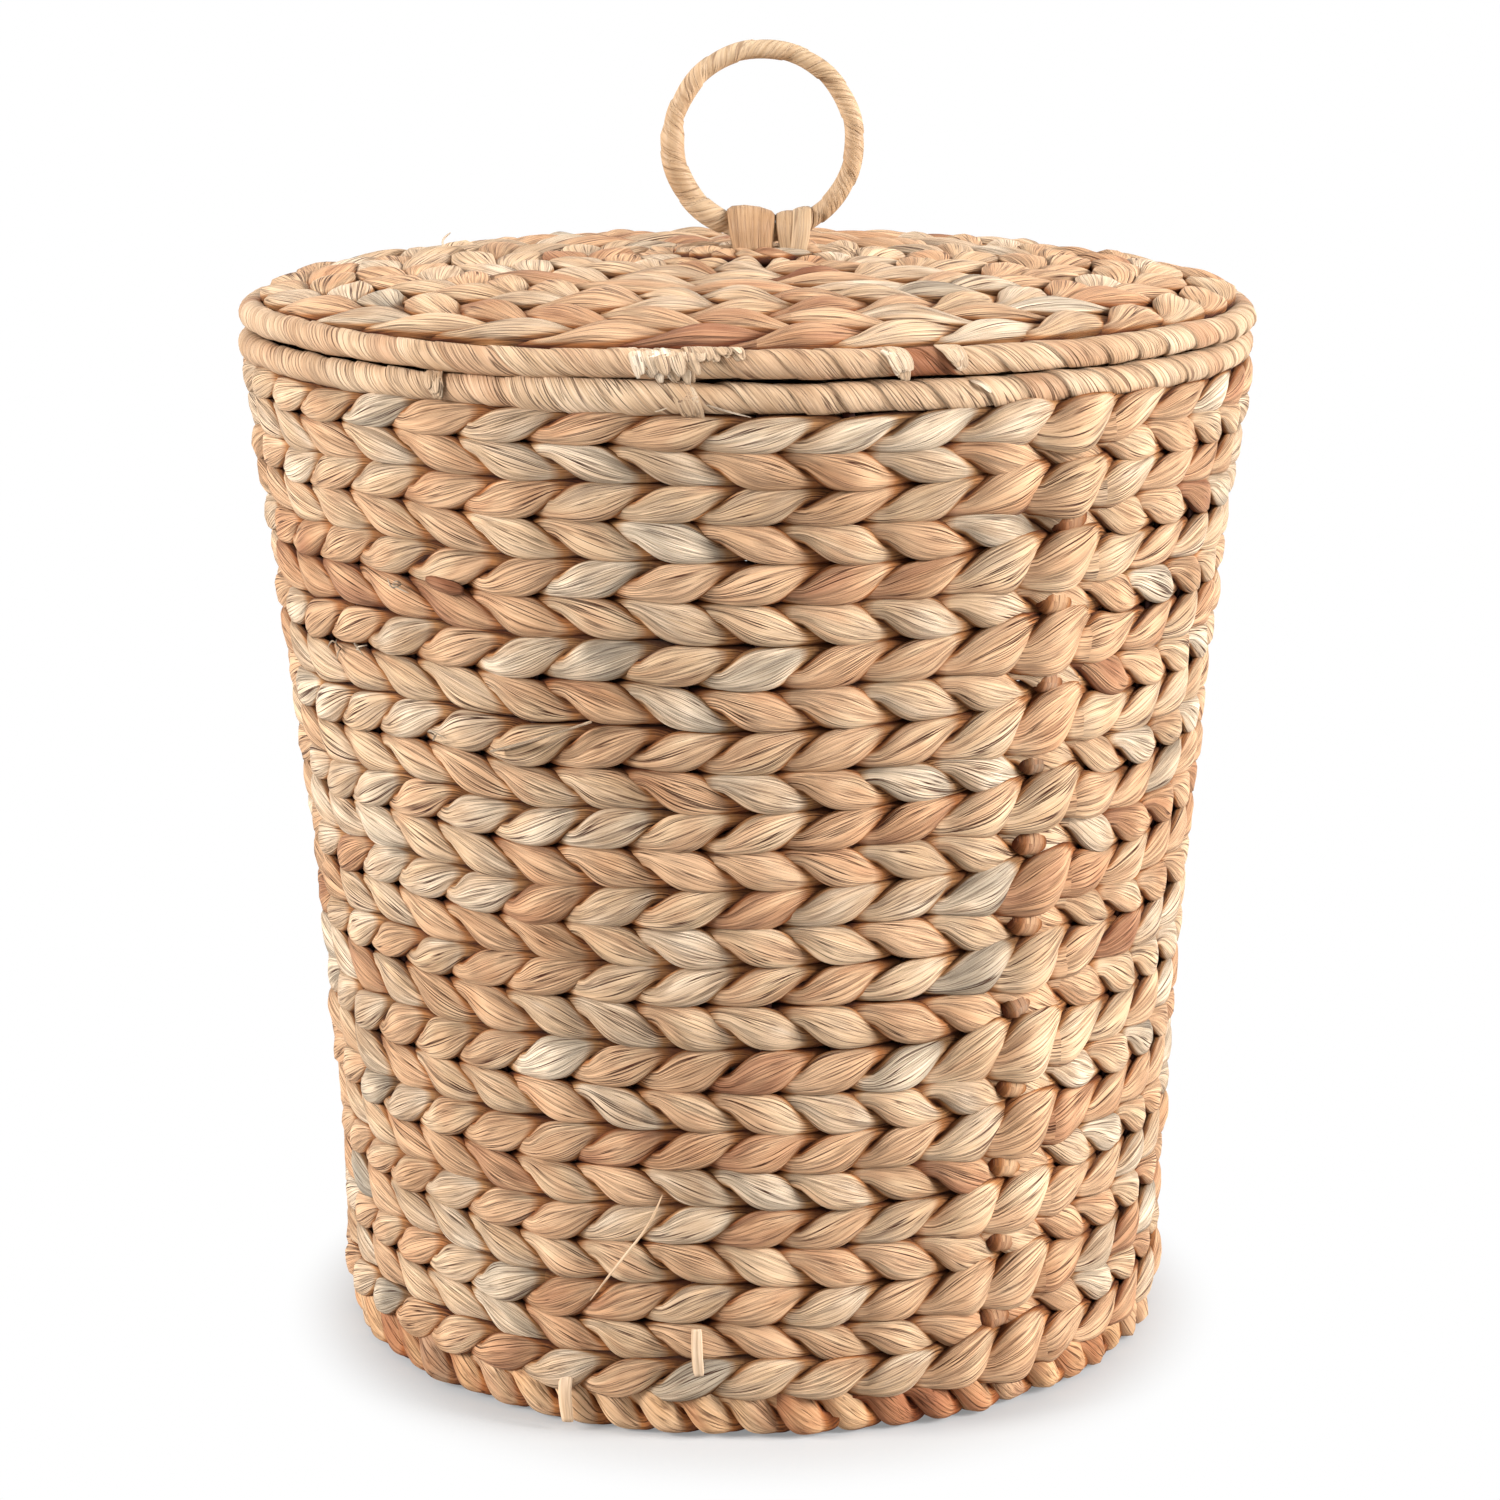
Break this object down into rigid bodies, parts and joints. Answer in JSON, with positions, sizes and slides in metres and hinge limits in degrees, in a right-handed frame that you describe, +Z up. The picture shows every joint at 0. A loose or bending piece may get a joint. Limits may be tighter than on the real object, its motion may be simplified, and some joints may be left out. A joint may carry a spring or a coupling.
{
  "type": "lidded twined basket",
  "caption": "Round, slightly tapering basket of twined plant fibre with a domed lift-off lid and a strip-wrapped ring handle.",
  "frame": {"origin": "on the floor, under the middle of the basket", "axes": "+Z up, -Y is the front seen in the picture, +X to its right"},
  "size_m": [0.305, 0.305, 0.3937],
  "materials": {
    "fibre": "matte dried leaf strand with fine creases",
    "rim_strip": "flat dried leaf strip, satin",
    "foot_fibre": "coarse dried leaf strand, matte",
    "handle_strip": "flat dried leaf strip, satin",
    "cane": "split cane, smooth",
    "hoop_wire": "drawn wire"
  },
  "bodies": {
    "basket": {"wall_stakes": "cane", "base_spokes": "cane", "foot_wrap": "foot_fibre", "base_round_1": "fibre", "base_round_2": "fibre", "base_round_3": "fibre", "base_round_4": "fibre", "base_round_5": "fibre", "wall_round_01": "fibre", "wall_round_02": "fibre", "wall_round_03": "fibre", "wall_round_04": "fibre", "wall_round_05": "fibre", "wall_round_06": "fibre", "wall_round_07": "fibre", "wall_round_08": "fibre", "wall_round_09": "fibre", "wall_round_10": "fibre", "wall_round_11": "fibre", "wall_round_12": "fibre", "wall_round_13": "fibre", "wall_round_14": "fibre", "wall_round_15": "fibre", "wall_round_16": "fibre", "wall_round_17": "fibre", "wall_round_18": "fibre", "wall_round_19": "fibre", "wall_round_20": "fibre", "wall_round_21": "fibre", "wall_round_22": "fibre", "wall_round_23": "fibre", "wall_round_24": "fibre", "wall_round_25": "fibre", "rim_hoop": "hoop_wire", "rim_wrap": "rim_strip"},
    "lid": {"lid_spokes": "cane", "lid_hoop": "hoop_wire", "lid_start": "fibre", "lid_round_1": "fibre", "lid_round_2": "fibre", "lid_round_3": "fibre", "lid_round_4": "fibre", "lid_round_5": "fibre", "lid_round_6": "fibre", "lid_round_7": "fibre", "lid_round_8": "fibre", "lid_round_9": "fibre", "lid_wrap": "rim_strip", "tie_left": "handle_strip", "tie_right": "handle_strip"},
    "ring": {"ring_hoop": "hoop_wire", "ring_wrap": "handle_strip"}
  },
  "joints": [
    {"name": "lid_lift", "type": "slide", "parent": "basket", "child": "lid", "axis": [0, 0, 1], "range_m": [0, 0.16]},
    {"name": "ring_tilt", "type": "hinge", "parent": "lid", "child": "ring", "pos_m": [0.0031, 0, 0.33618], "axis": [1, 0, 0], "range_deg": [-85, 85]}
  ]
}
